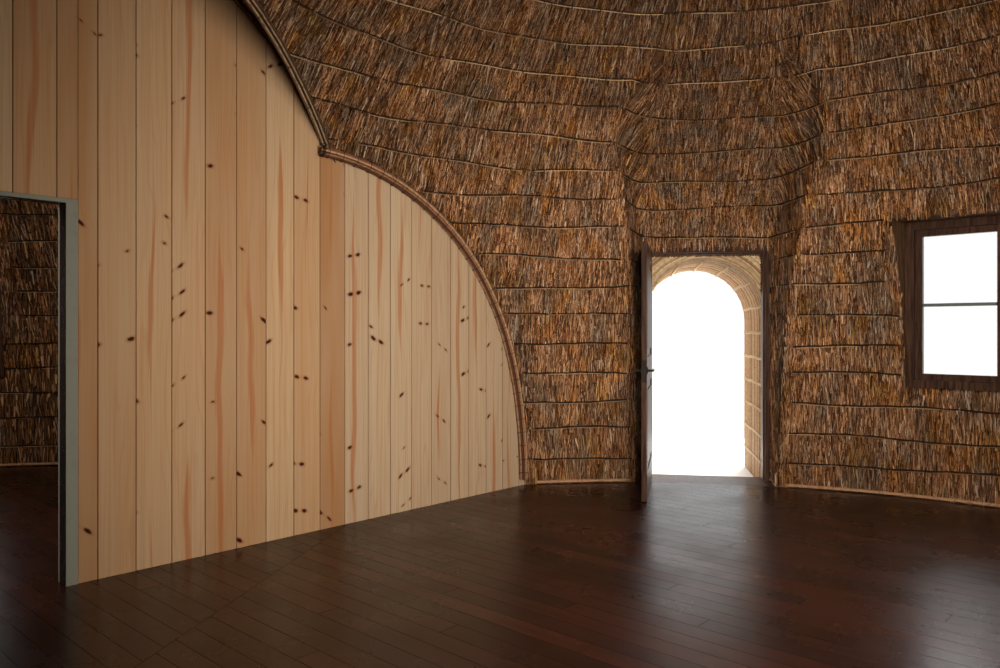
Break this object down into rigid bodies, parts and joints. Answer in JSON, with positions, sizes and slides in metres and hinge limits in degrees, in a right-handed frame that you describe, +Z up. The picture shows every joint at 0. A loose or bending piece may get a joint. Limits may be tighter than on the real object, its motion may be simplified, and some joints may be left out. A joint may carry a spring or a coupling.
{
  "type": "thatched twin-dome beehive hut",
  "caption": "Round thatched beehive hut of joined domes with an arched porch, hinged timber door, windows, boarded partition and plank floor.",
  "frame": {"origin": "on the ground at the centre of the main dome, on the underside of its floor", "axes": "+Z up, -Y out through the entrance porch, +X towards the second dome"},
  "size_m": [13.08, 9.5448, 4.63],
  "materials": {
    "thatch": "dry reddish-brown grass thatch, combed down the slope and tied in rows",
    "roof_thatch": "dry reddish-brown grass thatch, combed down the slope and tied in rows",
    "reed": "bundled reeds and grass rope, matt",
    "pine": "knotty pine boards, tongued and grooved, clear satin",
    "floor": "dark red-brown floorboards, polished",
    "timber": "dark brown stained timber, satin",
    "metal": "dull dark metal",
    "jamb_paint": "pale grey-green paint, satin",
    "glass": "clear window glass"
  },
  "bodies": {
    "hut": {"floor_main": "floor", "floor_side": "floor", "main_wall_front_right": "thatch", "main_wall_front_left": "thatch", "door_saddle": "thatch", "main_wall_under_window": "thatch", "main_wall_over_window": "thatch", "main_wall_left": "thatch", "main_wall_back": "thatch", "main_wall_back_right": "thatch", "main_roof_front": "roof_thatch", "main_roof_left": "roof_thatch", "main_roof_back": "roof_thatch", "main_roof_right": "roof_thatch", "main_crown": "roof_thatch", "side_wall_front": "thatch", "side_wall_under_window": "thatch", "side_wall_over_window": "thatch", "side_wall_right": "thatch", "side_wall_back": "thatch", "side_roof_front": "roof_thatch", "side_roof_right": "roof_thatch", "side_roof_back": "roof_thatch", "side_roof_left": "roof_thatch", "side_crown": "roof_thatch", "groin_arch": "reed", "porch_left": "thatch", "porch_right": "thatch", "porch_arch": "thatch", "porch_hoop": "reed", "door_frame": "timber", "frame_pintles": "metal", "window_frame": "timber", "window_sashes": "timber", "window_glass": "glass", "side_window_frame": "timber", "side_window_glass": "glass", "partition_left": "pine", "partition_over_doorway": "pine", "partition_right": "pine", "partition_roll": "reed", "inner_door_frame": "jamb_paint"},
    "door": {"door_leaf": "timber", "door_lock": "metal", "door_hinges": "metal"}
  },
  "joints": [
    {"name": "door_hinge", "type": "hinge", "parent": "hut", "child": "door", "pos_m": [0.503, -3.968, 0.126], "axis": [0, 0, 1], "range_deg": [0, 93.5]}
  ]
}
